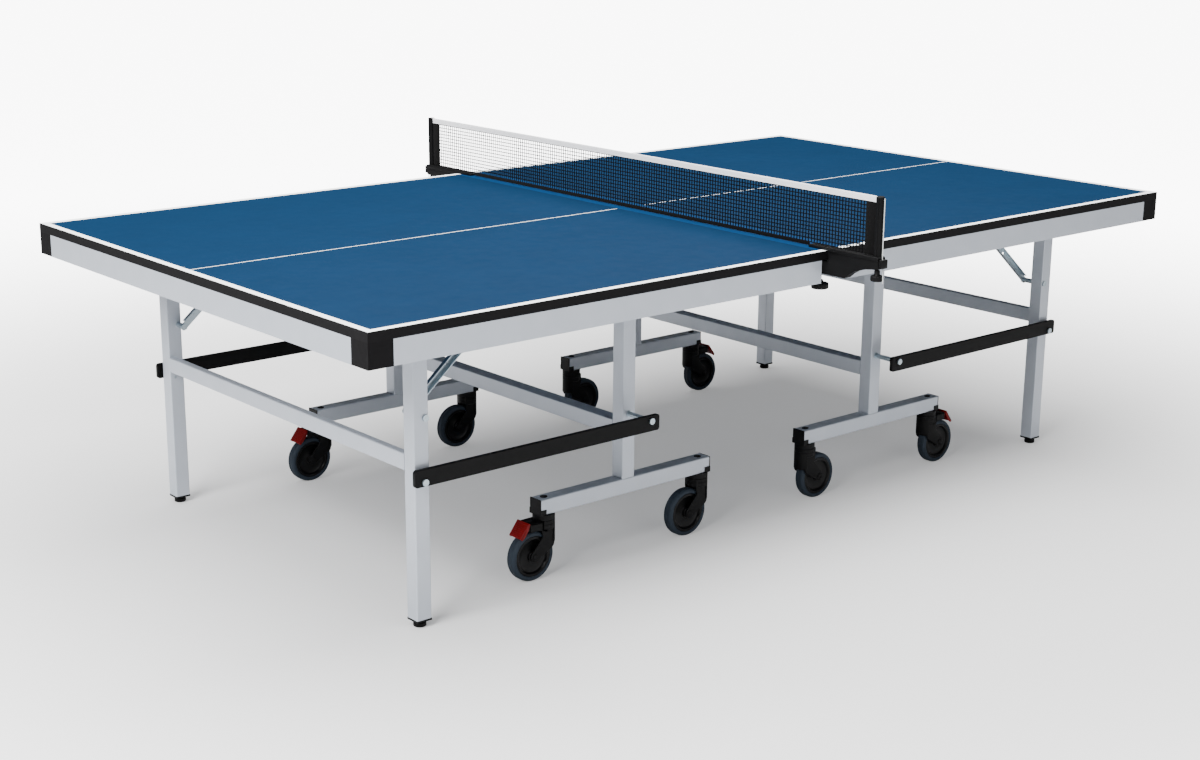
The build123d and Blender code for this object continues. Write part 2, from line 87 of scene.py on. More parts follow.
def material(name, base, roughness, extra):
    """A new material with its Principled shader, ready for more nodes."""
    made = bpy.data.materials.new(name)
    made.use_nodes = True
    made.node_tree.nodes.clear()
    tree = made.node_tree
    inputs = {"Base Color": colour(base), "Roughness": roughness, **extra}
    shader = add(tree, "ShaderNodeBsdfPrincipled", {}, inputs)
    add(tree, "ShaderNodeOutputMaterial", {}, {"Surface": shader.outputs["BSDF"]})
    made.diffuse_color = colour(base)
    return made, tree, shader


def plug(tree, shader, sockets):
    for name, socket in sockets.items():
        tree.links.new(socket, shader.inputs[name])


print("the blue of the top in linear light", [round(c, 4) for c in colour("#02223d")[:3]])

# %% [markdown]
# ## The playing surface
# The real top is chipboard with several coats of matt lacquer, rolled on and cured, then silk-screened with
# white lines: 20 mm round the outside and 3 mm down the middle. The lines could be thin white boxes, but
# paint has no thickness to speak of, so they are masks worked out from the distance to each edge of the
# panel. Each mask is a comparison of one coordinate with one limit, and the larger of the masks decides
# between blue and white. The panel's back is sealed in the same blue but has no lines, so the lines need
# the height of the upper face too.

# %% The painted lines
panel_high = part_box("right_table_panel")[1]
EDGE_BAND = 2 * MM
half_width = panel_high.y + EDGE_BAND
half_length = panel_high.x + EDGE_BAND
LINE, CENTRE_LINE, LINE_STOP = 20 * MM, 3 * MM, 50 * MM
JOINT_STRIP, GROOVE = 47 * MM, 2.4 * MM
MATT = {"Specular IOR Level": 0.06}

lacquer, tree, shader = material("matt_table_lacquer", "#02223d", 0.7, MATT)
place = add(tree, "ShaderNodeTexCoord").outputs["Object"]
axes = add(tree, "ShaderNodeSeparateXYZ", {}, {"Vector": place})
across = add(tree, "ShaderNodeMath", {"operation": "ABSOLUTE"}, {0: axes.outputs["Y"]}).outputs[0]
along = add(tree, "ShaderNodeMath", {"operation": "ABSOLUTE"}, {0: axes.outputs["X"]}).outputs[0]
side_line = add(tree, "ShaderNodeMath", {"operation": "GREATER_THAN"}, {0: across, 1: half_width - LINE})
end_line = add(tree, "ShaderNodeMath", {"operation": "GREATER_THAN"}, {0: along, 1: half_length - LINE})
on_centre = add(tree, "ShaderNodeMath", {"operation": "LESS_THAN"}, {0: across, 1: CENTRE_LINE / 2})
clear_of_net = add(tree, "ShaderNodeMath", {"operation": "GREATER_THAN"}, {0: along, 1: LINE_STOP})
centre_line = add(tree, "ShaderNodeMath", {"operation": "MULTIPLY"},
                  {0: on_centre.outputs[0], 1: clear_of_net.outputs[0]})
border = add(tree, "ShaderNodeMath", {"operation": "MAXIMUM"},
             {0: side_line.outputs[0], 1: end_line.outputs[0]})
lines = add(tree, "ShaderNodeMath", {"operation": "MAXIMUM"},
            {0: border.outputs[0], 1: centre_line.outputs[0]})
upper = add(tree, "ShaderNodeMath", {"operation": "GREATER_THAN"},
            {0: axes.outputs["Z"], 1: panel_high.z - 1 * MM}).outputs[0]
painted = add(tree, "ShaderNodeMath", {"operation": "MULTIPLY"}, {0: lines.outputs[0], 1: upper})
print("lines on a panel", round(2 * half_width, 3), "m wide")

# %% [markdown]
# The blue itself is slightly cloudy from the roller. Beside the joint each half has a strip of coating that
# is a little brighter, with a fine dark groove along it. Roller texture gives a shallow orange peel, and
# the paint lies a hair above the blue, so both go into one bump.

# %% The blue coating
cloud = add(tree, "ShaderNodeTexNoise", {}, {"Vector": place, "Scale": 1 / (120 * MM), "Detail": 2.0})
blue = add(tree, "ShaderNodeMix", {"data_type": "RGBA"},
           {0: cloud.outputs["Fac"], 6: colour("#02213b"), 7: colour("#032541")})
near_joint = add(tree, "ShaderNodeMath", {"operation": "LESS_THAN"}, {0: along, 1: JOINT_STRIP})
by_joint = add(tree, "ShaderNodeMath", {"operation": "MULTIPLY"}, {0: near_joint.outputs[0], 1: upper})
stripped = add(tree, "ShaderNodeMix", {"data_type": "RGBA"},
               {0: by_joint.outputs[0], 6: blue.outputs[2], 7: colour("#043158")})
cut = add(tree, "ShaderNodeMath", {"operation": "COMPARE"}, {0: along, 1: JOINT_STRIP, 2: GROOVE / 2})
groove = add(tree, "ShaderNodeMath", {"operation": "MULTIPLY"}, {0: cut.outputs[0], 1: upper})
grooved = add(tree, "ShaderNodeMix", {"data_type": "RGBA"},
              {0: groove.outputs[0], 6: stripped.outputs[2], 7: colour("#010e18")})
paint = add(tree, "ShaderNodeMix", {"data_type": "RGBA"},
            {0: painted.outputs[0], 6: grooved.outputs[2], 7: colour("#f8fafb")})
sheen = add(tree, "ShaderNodeTexNoise", {}, {"Vector": place, "Scale": 1 / (35 * MM), "Detail": 3.0})
gloss = add(tree, "ShaderNodeMapRange", {}, {"Value": sheen.outputs["Fac"], "To Min": 0.64, "To Max": 0.74})
peel = add(tree, "ShaderNodeTexNoise", {}, {"Vector": place, "Scale": 1 / (2.2 * MM), "Detail": 2.0})
height = add(tree, "ShaderNodeMath", {"operation": "ADD"}, {0: peel.outputs["Fac"], 1: painted.outputs[0]})
relief = add(tree, "ShaderNodeBump", {}, {"Height": height.outputs[0], "Distance": 0.035 * MM})
plug(tree, shader, {"Base Color": paint.outputs[2], "Roughness": gloss.outputs["Result"],
                    "Normal": relief.outputs["Normal"]})
print("lacquer has", len(tree.nodes), "nodes")

# %% [markdown]
# ## One recipe for uneven finishes
# Coated, plated and moulded parts differ in colour, gloss and grain, but each is uneven in the same three
# ways: a cloudy tone, a patchy gloss and a fine raised grain. So one function builds all three from real
# sizes in millimetres, and each finish only says its numbers. A stretch makes the grain run one way.

# %% A mottled finish
def mottled(name, light, dark, tone_mm, rough, grain_mm, depth_mm, extra, stretch=(1, 1, 1)):
    made, tree, shader = material(name, light, rough[0], extra)
    where = add(tree, "ShaderNodeTexCoord")
    place = add(tree, "ShaderNodeMapping", {},
                {"Vector": where.outputs["Object"], "Scale": stretch}).outputs[0]
    cloud = add(tree, "ShaderNodeTexNoise", {}, {"Vector": place, "Scale": 1 / (tone_mm * MM), "Detail": 3.0})
    tone = add(tree, "ShaderNodeMix", {"data_type": "RGBA"},
               {0: cloud.outputs["Fac"], 6: colour(light), 7: colour(dark)})
    patches = add(tree, "ShaderNodeTexNoise", {},
                  {"Vector": place, "Scale": 3 / (tone_mm * MM), "Detail": 3.0})
    gloss = add(tree, "ShaderNodeMapRange", {},
                {"Value": patches.outputs["Fac"], "To Min": rough[0], "To Max": rough[1]})
    grain = add(tree, "ShaderNodeTexNoise", {},
                {"Vector": place, "Scale": 1 / (grain_mm * MM), "Detail": 2.0})
    relief = add(tree, "ShaderNodeBump", {}, {"Height": grain.outputs["Fac"], "Distance": depth_mm * MM})
    plug(tree, shader, {"Base Color": tone.outputs[2], "Roughness": gloss.outputs["Result"],
                        "Normal": relief.outputs["Normal"]})
    return made


print("the recipe makes three noises from millimetre sizes")

# %% [markdown]
# ## Steel finishes
# The frame is mild steel tube, cleaned and powder coated silver: a metallic flake in a satin clear resin.
# That gives a soft highlight and a fine orange peel. The control bars and clamps have the same coat in
# black. The braces and bolts are zinc plated, which keeps the rolled steel's streaks and a faint blue
# passivation.

# %% Powder coats and zinc
silver = mottled("silver_powder_coat", "#c6cbd4", "#bac1cb", 60, (0.36, 0.5), 1.4, 0.02, {"Metallic": 0.35})
black_steel = mottled("black_powder_coat", "#060607", "#0a0a0b", 60, (0.5, 0.62), 1.4, 0.02,
                      {"Specular IOR Level": 0.14})
zinc = mottled("zinc_plated_steel", "#9fb4c2", "#c6cdcf", 18, (0.2, 0.42), 5, 0.03, {"Metallic": 0.9},
               (1, 1, 6))
print("three steel finishes")

# %% [markdown]
# ## Plastics and rubber
# Moulded parts come out of spark-eroded tools, so they carry a fine, even grain. The casters' forks are
# glass filled nylon and their hubs a smoother one, the treads are a grey thermoplastic rubber, the brake
# pedals red ABS, and the panel's edge is a soft PVC banding that is glued on hot.

# %% Moulded materials
nylon = mottled("glass_filled_nylon", "#050506", "#09090a", 30, (0.42, 0.58), 0.8, 0.03,
                {"Specular IOR Level": 0.16})
hub_nylon = mottled("smooth_hub_nylon", "#040405", "#070708", 30, (0.28, 0.42), 0.8, 0.02,
                    {"Specular IOR Level": 0.25})
cap_plastic = mottled("grained_corner_plastic", "#09080a", "#0d0c0e", 30, (0.55, 0.7), 1.0, 0.04,
                      {"Specular IOR Level": 0.12})
edge_plastic = mottled("black_edge_banding", "#0a090b", "#0f0e10", 30, (0.5, 0.62), 1.6, 0.02,
                       {"Specular IOR Level": 0.12})
tread = mottled("grey_tread_rubber", "#2c3641", "#252e38", 30, (0.55, 0.72), 1.2, 0.03,
                {"Specular IOR Level": 0.25})
red_abs = mottled("red_abs", "#7e0a0c", "#6e080a", 30, (0.38, 0.5), 0.9, 0.02, {"Specular IOR Level": 0.25})
print("six moulded materials")

# %% [markdown]
# ## Net cloth
# The mesh is knotted black polyamide twine. The top band is bleached cotton, folded over the head line and
# stitched. Its weave is a chequer of thread shadows from two sets of waves at right angles, drawn a little
# coarser than life so that it shows.

# %% Cloth materials
def woven(name, light, dark, thread_mm, depth_mm, extra):
    made, tree, shader = material(name, light, 0.9, {"Specular IOR Level": 0.1, **extra})
    place = add(tree, "ShaderNodeTexCoord").outputs["Object"]
    waves = [add(tree, "ShaderNodeTexWave", {"bands_direction": axis},
                 {"Vector": place, "Scale": 0.16 / (thread_mm * MM), "Distortion": 0.4}) for axis in "YZ"]
    weave = add(tree, "ShaderNodeMath", {"operation": "MULTIPLY"},
                {i: wave.outputs["Fac"] for i, wave in enumerate(waves)})
    shade = add(tree, "ShaderNodeMapRange", {}, {"Value": weave.outputs[0], "To Min": 0.35, "To Max": 1.0})
    tone = add(tree, "ShaderNodeMix", {"data_type": "RGBA"},
               {0: shade.outputs["Result"], 6: colour(dark), 7: colour(light)})
    relief = add(tree, "ShaderNodeBump", {}, {"Height": weave.outputs[0], "Distance": depth_mm * MM})
    plug(tree, shader, {"Base Color": tone.outputs[2], "Normal": relief.outputs["Normal"]})
    return made


white_cotton = woven("bleached_cotton_band", "#fbfbfc", "#dcdde2", 1.1, 0.12, {"Sheen Weight": 0.2})
black_cotton = woven("black_cotton_sleeve", "#080708", "#040404", 1.3, 0.14, {"Sheen Weight": 0.03})
white_cord = woven("white_braided_cord", "#eef0ee", "#8f9290", 2.0, 0.2, {"Sheen Weight": 0.1})
twine = mottled("black_polyamide_twine", "#050506", "#09090b", 20, (0.75, 0.9), 1.0, 0.05,
                {"Specular IOR Level": 0.08})
print("four cloth materials")

# %% [markdown]
# The engineering nodes that already have the right shape keep their mesh and take the new finishes.

# %% Dress the engineering nodes
FINISH = {"table_panel": lacquer, "edge_band": edge_plastic, "apron": silver, "under_frame": zinc,
          "leg_frame": silver, "leg_plugs": nylon, "leg_bolts": zinc, "braces": zinc,
          "control_bars": black_steel, "post_frame": silver, "beam_plugs": nylon, "post_bolts": zinc,
          "corner_caps": cap_plastic, "foot_near": nylon, "foot_far": nylon}


def dress(name, finish):
    mesh = nodes[name].data
    mesh.materials.clear()
    mesh.materials.append(finish)


for half in HALVES:
    for part, finish in FINISH.items():
        dress(f"{half}_{part}", finish)
print("dressed", 2 * len(FINISH), "nodes")

# %% [markdown]
# ## Modelling helpers
# A few tools serve every new piece: a plate cut from an outline, a turned shape spun from a profile, a
# rounded box, and one call that rounds all edges sharper than a limit. Each piece ends in `finish`, which
# gives it a material, lets it ride a body and says which engineering node it stands for.

# %% Modelling helpers
def round_edges(bm, width_mm, segments=2, sharper_than=35):
    limit = math.radians(sharper_than)
    edges = [e for e in bm.edges if len(e.link_faces) == 2 and e.calc_face_angle(0) > limit]
    bmesh.ops.bevel(bm, geom=edges, offset=width_mm * MM, offset_type="OFFSET", segments=segments,
                    profile=0.5, affect="EDGES", material=-1, clamp_overlap=True)


def box(bm, low, high):
    """A box between two corners, in metres."""
    made = bmesh.ops.create_cube(bm, size=1)["verts"]
    low, high = Vector(low), Vector(high)
    bmesh.ops.scale(bm, vec=high - low, verts=made)
    bmesh.ops.translate(bm, vec=(high + low) / 2, verts=made)
    return made


PLACES = {"X": (2, 0, 1), "Y": (0, 2, 1), "Z": (0, 1, 2)}


def plate(bm, outline, low, high, axis="Y"):
    """A flat plate: its outline lies across the axis and it runs along the axis from low to high."""
    corners = []
    for a, b in outline:
        point = (a, b, low)
        corners.append(bm.verts.new([point[i] for i in PLACES[axis]]))
    face = bm.faces.new(corners)
    grown = bmesh.ops.extrude_face_region(bm, geom=[face])["geom"]
    moved = [v for v in grown if isinstance(v, bmesh.types.BMVert)]
    step = [0, 0, high - low]
    bmesh.ops.translate(bm, vec=[step[i] for i in PLACES[axis]], verts=moved)
    return corners + moved


def in_mm(points):
    return [(a * MM, b * MM) for a, b in points]


def arc(cx, cz, radius, start, end, steps):
    """Points of an arc in X and Z, with the angles in degrees."""
    angles = [math.radians(start + (end - start) * i / steps) for i in range(steps + 1)]
    return [(cx + radius * math.cos(a), cz + radius * math.sin(a)) for a in angles]


def turned(bm, profile, centre, axis="Y", steps=48):
    """A shape spun from (radius, height) points about an axis through centre."""
    ring = [bm.verts.new((r, 0, h)) for r, h in profile]
    edges = [bm.edges.new(pair) for pair in zip(ring, ring[1:])]
    bmesh.ops.spin(bm, geom=ring + edges, cent=(0, 0, 0), axis=(0, 0, 1), dvec=(0, 0, 0),
                   angle=math.tau, steps=steps, use_merge=True)
    made = {v for f in bm.faces if not f.tag for v in f.verts}
    turn = Matrix.Rotation(math.radians(-90), 4, "X") if axis == "Y" else Matrix.Identity(4)
    bmesh.ops.transform(bm, matrix=Matrix.Translation(centre) @ turn, verts=list(made))
    for f in bm.faces:
        f.tag = True


def finish(bm, name, coat, body, slot, replaces=(), smooth=35):
    """Closes a piece: clean mesh, smooth shading between sharp edges, material and body; the slot is not
    used.
    """
    bmesh.ops.remove_doubles(bm, verts=bm.verts[:], dist=1e-6)
    bmesh.ops.recalc_face_normals(bm, faces=bm.faces[:])
    mesh = bpy.data.meshes.new(name)
    bm.to_mesh(mesh)
    bm.free()
    mesh.shade_smooth()
    mesh.set_sharp_from_angle(angle=math.radians(smooth))
    mesh.materials.append(coat)
    piece = bpy.data.objects.new(name, mesh)
    bpy.context.scene.collection.objects.link(piece)
    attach(piece, body)
    if replaces:
        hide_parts(*replaces)
    return piece


print("helpers ready")

# %% [markdown]
# ## Caster wheels
# Each wheel is a grey rubber tyre moulded round a black nylon hub. Both are bodies of revolution, so each
# is one profile spun round the axle. The hub's dished face has a raised rim ring, a deep well and a bearing
# boss.

# %% Wheels
WHEEL_R = 62.5 * MM
TYRE_HALF = 14 * MM


def tyre_profile():
    """Outer crown, rounded shoulders and the inner seat, as (radius, height)."""
    shoulder = 7 * MM
    crown = [(WHEEL_R - shoulder + shoulder * math.sin(a), TYRE_HALF - shoulder + shoulder * math.cos(a))
             for a in [math.radians(d) for d in (0, 18, 36, 54, 72, 90)]]
    seat = WHEEL_R - 11.5 * MM
    top = [(seat, TYRE_HALF - 1.2 * MM), (seat + 1.2 * MM, TYRE_HALF)] + crown
    groove = [(WHEEL_R, 1.2 * MM), (WHEEL_R - 0.5 * MM, 0)]
    lower = [(r, -h) for r, h in reversed(top + groove[:1])]
    return top + groove + lower + [top[0]]


def hub_profile():
    rim, well, boss, bore = 51 * MM, 43 * MM, 14 * MM, 5 * MM
    top = [(bore, 15.5 * MM), (boss - 3 * MM, 15.5 * MM), (boss, 14 * MM), (boss, 7 * MM),
           (18 * MM, 5.5 * MM), (36 * MM, 5.5 * MM), (well - 2 * MM, 7.5 * MM), (well, 11.5 * MM),
           (well + 1.5 * MM, 13.3 * MM),
           (rim - 1.5 * MM, 13.3 * MM), (rim, 12 * MM)]
    return top + [(r, -h) for r, h in reversed(top)] + [top[0]]


def wheel(half, where, side):
    node = f"{half}_wheel_{where}_{side}"
    centre = Vector(joints[f"{node}_roll"]["pos_m"])
    bm = bmesh.new()
    turned(bm, tyre_profile(), centre, steps=72)
    tyre = finish(bm, f"{node}_tyre", tread, node, "tyre_grey", (node,))
    bm = bmesh.new()
    turned(bm, hub_profile(), centre, steps=64)
    finish(bm, f"{node}_hub", hub_nylon, node, "black_plastic")
    return tyre


CASTERS = [(half, where, side) for half in HALVES for where in ("inner", "outer") for side in SIDES]
for caster in CASTERS:
    made = wheel(*caster)
print(len(CASTERS), "wheels, each tyre with", len(made.data.polygons), "faces")

# %% [markdown]
# ## Caster forks
# A fork is one nylon moulding. Its round head turns under the beam, a curved front runs down from it, and
# two cheeks sweep back to the axle. The outer casters also have a housing that arches over the wheel and
# carries the brake. Boxes alone would look like sheet metal, so the cheeks are outlines with a round end,
# thickened and rounded, and the head is turned with its two fine grooves.

# %% Forks
CHEEK_IN, CHEEK_OUT = 17 * MM, 22 * MM
HEAD_R, HEAD_TOP = 27.5, 149
AXLE_AT = (42, 62.5)


def cheek_outline():
    """Seen from the side, from the swivel axis: straight in front and swept back to the axle."""
    back = [(-17, 149), (22, 149), (22, 124), (20.5, 116), (17, 110.5)]
    return in_mm(back + arc(*AXLE_AT, 13, 42, -125, 14) + [(-11, 79), (-15, 84), (-17, 92)])


def curved_front():
    outer = arc(0, 0, HEAD_R, 116, 244, 16)
    return in_mm(outer + arc(0, 0, HEAD_R - 4, 239, 121, 14))


def housing_outline():
    return in_mm([(5, 149), (52, 149), (55, 148), (56, 145)] + arc(*AXLE_AT, 65.5, 77.7, 124.4, 12))


def to_caster(bm, stem, half):
    """Turns a caster built towards +X to its own half and moves it under its stem."""
    turn = Matrix.Rotation(0 if half == "right" else math.pi, 4, "Z")
    where = Matrix.Translation((stem.x, stem.y, 0))
    bmesh.ops.transform(bm, matrix=where @ turn, verts=bm.verts[:])


def fork(half, where, side):
    node = f"{half}_fork_{where}_{side}"
    stem = Vector(joints[f"{node}_swivel"]["pos_m"])
    bm = bmesh.new()
    for low, high in ((CHEEK_IN, CHEEK_OUT), (-CHEEK_OUT, -CHEEK_IN)):
        plate(bm, cheek_outline(), low, high)
    plate(bm, curved_front(), 91 * MM, 135 * MM, "Z")
    if where == "outer":
        for low, high in ((12.3, 22), (-22, -12.3)):
            plate(bm, housing_outline(), low * MM, high * MM)
        box(bm, (5 * MM, -22 * MM, 144 * MM), (54 * MM, 22 * MM, 149 * MM))
    round_edges(bm, 1.3, 3)
    for f in bm.faces:
        f.tag = True
    for y in (-1, 1):
        boss = [(0, 0), (8.5 * MM, 0), (8.5 * MM, 1.2 * MM), (7 * MM, 2.2 * MM), (0, 2.2 * MM)]
        at = Vector((AXLE_AT[0] * MM, y * CHEEK_OUT, AXLE_AT[1] * MM))
        turned(bm, [(r, y * h) for r, h in boss], at, steps=24)
    head = [(0, 126.5), (26, 126.5), (27.5, 128), (27.5, 138.6), (26.6, 139.4), (27.5, 140.2), (27.5, 147.6),
            (26.3, HEAD_TOP), (6, HEAD_TOP), (5.5, 160), (5.5, 180), (0, 180)]
    turned(bm, in_mm(head), Vector((0, 0, 0)), "Z", 40)
    to_caster(bm, stem, half)
    return finish(bm, f"{node}_moulding", nylon, node, "black_plastic", (node,))


for caster in CASTERS:
    made = fork(*caster)
print("forks of", len(made.data.polygons), "faces")

# %% [markdown]
# ## Brake pedals
# The outer casters lock with a red pedal. Its paddle slopes down behind the wheel and has raised ribs for
# the foot. The ribs are real geometry, because they show as a ladder of highlights, and two side skirts
# stiffen it.

# %% Pedals
PADDLE_TOP, PADDLE_FOOT = Vector((62, 0, 153)), Vector((88, 0, 118.5))
PADDLE_HALF = 23.5
RIBS = 8


def pedal(half, side):
    node = f"{half}_brake_pedal_{side}"
    stem = Vector(joints[f"{half}_fork_outer_{side}_swivel"]["pos_m"])
    bm = bmesh.new()
    plate(bm, in_mm([(24, 134.5), (24, 141), (66, 141), (70, 134.7)]), -11.5 * MM, 11.5 * MM)
    face = [(62, 153), (88, 118.5), (84.4, 115.8), (58.4, 150.3)]
    plate(bm, in_mm(face), -PADDLE_HALF * MM, PADDLE_HALF * MM)
    skirt = [(61.5, 153), (88, 118.5), (83, 113.5), (74, 121), (62, 138), (58.6, 150)]
    for y in (-1, 1):
        low, high = sorted((y * PADDLE_HALF, y * (PADDLE_HALF - 3)))
        plate(bm, in_mm(skirt), low * MM, high * MM)
    round_edges(bm, 1.3, 3, 25)
    run = PADDLE_FOOT - PADDLE_TOP
    slope = run.normalized()
    out = Vector((-slope.z, 0, slope.x))
    tilt = Matrix.Rotation(math.atan2(-slope.z, slope.x), 3, "Y")
    for i in range(RIBS):
        middle = (PADDLE_TOP + slope * (5 + i * (run.length - 10) / (RIBS - 1)) + out * 0.3) * MM
        rib = bmesh.ops.create_cube(bm, size=1)["verts"]
        bmesh.ops.scale(bm, vec=(2.0 * MM, (2 * PADDLE_HALF - 7) * MM, 1.6 * MM), verts=rib)
        bmesh.ops.rotate(bm, matrix=tilt, verts=rib)
        bmesh.ops.translate(bm, vec=middle, verts=rib)
    to_caster(bm, stem, half)
    return finish(bm, f"{node}_paddle", red_abs, node, "brake_red", (node,))


for half in HALVES:
    for side in SIDES:
        made = pedal(half, side)
print("pedals of", len(made.data.polygons), "faces")

# %% [markdown]
# ## The net
# The mesh is real twine, knotted to squares of about ten millimetres. Two families of straight strands
# cross a little apart, so neither hides the other, and each strand is only a box with six faces because
# there are two hundred of them. The cloth stops just above the clamps, and between them a black strip
# reaches the table: partly the net's hem, and partly a painted shadow of the net on the table.

# %% Net mesh
mesh_low, mesh_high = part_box("net_mesh")
net_x = (mesh_low.x + mesh_high.x) / 2
STRAND = 2.3 * MM
ROWS = 13
NET_FOOT = 769 * MM
net_width, net_depth = mesh_high.y - mesh_low.y, mesh_high.z - NET_FOOT
cell = net_depth / ROWS
columns = round(net_width / cell)

bm = bmesh.new()
for i in range(ROWS + 1):
    z = NET_FOOT + i * (net_depth - STRAND) / ROWS
    box(bm, (net_x - 0.9 * MM, mesh_low.y, z), (net_x + 0.5 * MM, mesh_high.y, z + STRAND))
for i in range(columns + 1):
    y = mesh_low.y + i * (net_width - STRAND) / columns
    box(bm, (net_x - 0.5 * MM, y, NET_FOOT), (net_x + 0.9 * MM, y + STRAND, mesh_high.z))
net = finish(bm, "net_twine", twine, "left_tabletop", "net_black", ("net_mesh",))
strand_length = (ROWS + 1) * net_width + (columns + 1) * net_depth
print(f"{ROWS} by {columns} squares of {cell / MM:.1f} mm, {strand_length:.1f} m of twine")

# %% [markdown]
# The band along the top is a strip of cotton folded over the head line, and a dark sleeve closes each end
# round its post. A folded strip is thick at the fold and pinched at the stitching, so its section is an
# outline that swells at the top, and it is swept straight along the net.

# %% Net band and sleeves
tape_low, tape_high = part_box("net_tape")
BAND = 15 * MM
HEM_SHADOW_EDGE = 690 * MM
HEM_SHADOW_LOW = 761.6 * MM


def folded_strip(bm, low, high, thick_top, thick_edge):
    """A strip folded at its upper edge, along Y."""
    crown = arc(net_x, high.z - thick_top / 2, thick_top / 2, 0, 180, 8)
    skirt = [(net_x - thick_edge / 2, high.z - 0.55 * (high.z - low.z)), (net_x - thick_edge / 2, low.z),
             (net_x + thick_edge / 2, low.z), (net_x + thick_edge / 2, high.z - 0.55 * (high.z - low.z))]
    plate(bm, crown + skirt, low.y, high.y)


bm = bmesh.new()
folded_strip(bm, Vector((0, tape_low.y, tape_high.z - BAND)), tape_high, 3.8 * MM, 2.4 * MM)
band = finish(bm, "net_white_band", white_cotton, "left_tabletop", "tape_white", ("net_tape",))
bm = bmesh.new()
for y in SIDES.values():
    ends = sorted((y * (mesh_high.y - 3 * MM), y * (tape_high.y - 0.2 * MM)))
    box(bm, (net_x - 1.9 * MM, ends[0], tape_low.z), (net_x + 1.9 * MM, ends[1], tape_high.z - BAND))
round_edges(bm, 0.7, 2)
sleeves = finish(bm, "net_end_sleeves", black_cotton, "left_tabletop", "net_black")
# The black strip at the net's foot is partly the hem and partly a painted shadow of the net on the table.
bm = bmesh.new()
box(bm, (net_x - 1.4 * MM, -HEM_SHADOW_EDGE, HEM_SHADOW_LOW), (net_x + 1.4 * MM, HEM_SHADOW_EDGE, NET_FOOT + 1.6 * MM))
round_edges(bm, 0.6, 2)
hem_and_shadow_strip = finish(bm, "net_hem_and_painted_shadow", black_cotton, "left_tabletop", "net_black")
print("net band", round((tape_high.y - tape_low.y) / MM), "mm long, hem", round(2 * HEM_SHADOW_EDGE / MM), "mm")

# %% [markdown]

print("net pieces made")

# %% [markdown]
# ## Clamps, posts and knobs
# The clamp's plate keeps its engineering shape with a black coat. The posts are extrusions with two
# grooves, and the knobs are moulded with finger lobes, which a turned profile alone would not have.

# %% Clamps, posts, knobs
CLAMP_OUTLINE = [(722, 700), (722, 733), (762.9, 733), (762.9, 760.2), (698, 760.2), (698, 765), (701, 767.6),
                 (706, 768), (922, 768), (925, 765), (925, 740), (922, 737.5), (905, 736), (885, 733),
                 (867, 728), (850, 722), (834, 713), (818, 700)]
TOP_FLANGE = [(699, 760.2), (699, 765), (701, 767.6), (706, 768.1), (922, 768.1), (925, 765), (925, 757.5),
              (763, 757.5), (763, 760.2)]


def clamp(side, y):
    bm = bmesh.new()
    for outline, half_width in ((CLAMP_OUTLINE, 12), (TOP_FLANGE, 14)):
        corners = in_mm([(y * a, b) for a, b in outline])
        plate(bm, corners, net_x - half_width * MM, net_x + half_width * MM, "X")
    round_edges(bm, 1.6, 3, 30)
    return finish(bm, f"net_clamp_{side}_bracket", black_steel, "left_tabletop", "black_steel",
                  (f"net_clamp_{side}",))


def fluted(radius, depth, grooves):
    """A round outline with narrow grooves."""
    points = []
    for i in range(grooves * 8):
        angle = math.tau * i / (grooves * 8)
        r = radius - (depth if i % 8 in (3, 4) else 0)
        points.append((r * math.cos(angle), r * math.sin(angle)))
    return points


POST_Y, POST_TOP = 913, 912.5
for side, y in SIDES.items():
    clamp(side, y)
bm = bmesh.new()
for y in SIDES.values():
    column = plate(bm, in_mm(fluted(9.9, 1.5, 6)), 742 * MM, (POST_TOP - 4) * MM, "Z")
    bmesh.ops.translate(bm, vec=(net_x, y * POST_Y * MM, 0), verts=column)
for f in bm.faces:
    f.tag = True
for y in SIDES.values():
    cap = [(0, -4), (10.1, -4), (10.1, -1.2), (9, 0), (0, 0)]
    turned(bm, in_mm(cap), Vector((net_x, y * POST_Y * MM, POST_TOP * MM)), "Z", 32)
finish(bm, "net_post_columns", black_steel, "left_tabletop", "black_steel", ("net_posts",))
print("clamps and posts")


def knob(bm, centre, radius, low, high, lobes):
    """A round grip with lobes cut into its rim."""
    made = bmesh.ops.create_circle(bm, cap_ends=True, radius=radius, segments=lobes * 6)["verts"]
    for v in made:
        angle = math.atan2(v.co.y, v.co.x)
        v.co.xy *= 1 - 0.045 * (1 - math.cos(lobes * angle)) / 2
    face = [f for f in bm.faces if set(f.verts) <= set(made)]
    grown = bmesh.ops.extrude_face_region(bm, geom=face)["geom"]
    top = [v for v in grown if isinstance(v, bmesh.types.BMVert)]
    bmesh.ops.translate(bm, vec=(0, 0, high - low), verts=top)
    bmesh.ops.translate(bm, vec=(centre.x, centre.y, low), verts=made + top)


